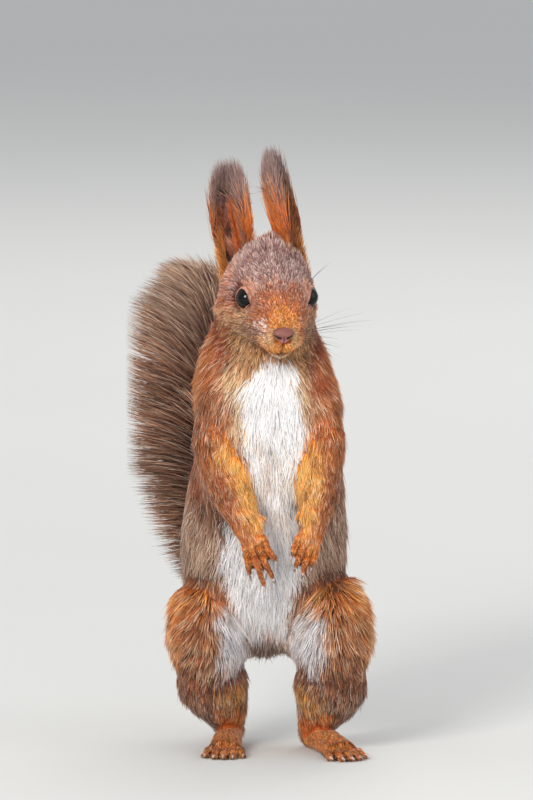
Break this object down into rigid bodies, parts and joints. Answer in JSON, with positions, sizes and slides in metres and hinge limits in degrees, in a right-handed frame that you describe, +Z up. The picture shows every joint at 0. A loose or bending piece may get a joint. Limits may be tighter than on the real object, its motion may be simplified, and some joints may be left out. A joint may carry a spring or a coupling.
{
  "type": "squirrel",
  "caption": "Still, life-size red squirrel standing upright on its hind feet, forepaws hanging over the belly, tufted ears up and bushy tail raised behind.",
  "frame": {"origin": "on the floor, under the middle of the whole object's box", "axes": "+Z up, the animal faces -Y, its left side is at +X"},
  "size_m": [0.101, 0.1155, 0.2499],
  "materials": {
    "coat": "short red-brown fur on skin, white on throat, chest and belly",
    "long_hair": "long loose dark brown hair of the tail and ear tufts",
    "nose": "bare, finely grained, slightly moist",
    "eye": "wet, glossy, near black",
    "claw": "smooth dark horn"
  },
  "bodies": {
    "root": {"ear_left": "coat", "ear_right": "coat", "ear_tuft_left": "long_hair", "ear_tuft_right": "long_hair", "eye_left": "eye", "eye_right": "eye", "forearm_left": "coat", "forearm_right": "coat", "foreclaw_left_1": "claw", "foreclaw_left_2": "claw", "foreclaw_left_3": "claw", "foreclaw_left_4": "claw", "foreclaw_right_1": "claw", "foreclaw_right_2": "claw", "foreclaw_right_3": "claw", "foreclaw_right_4": "claw", "forepaw_left": "coat", "forepaw_right": "coat", "head": "coat", "hind_foot_left": "coat", "hind_foot_right": "coat", "hindclaw_left_1": "claw", "hindclaw_left_2": "claw", "hindclaw_left_3": "claw", "hindclaw_left_4": "claw", "hindclaw_left_5": "claw", "hindclaw_right_1": "claw", "hindclaw_right_2": "claw", "hindclaw_right_3": "claw", "hindclaw_right_4": "claw", "hindclaw_right_5": "claw", "neck": "coat", "nose": "nose", "shank_left": "coat", "shank_right": "coat", "tail_middle": "long_hair", "tail_root": "long_hair", "tail_tip": "long_hair", "thigh_left": "coat", "thigh_right": "coat", "trunk": "coat", "upper_arm_left": "coat", "upper_arm_right": "coat"}
  },
  "joints": []
}
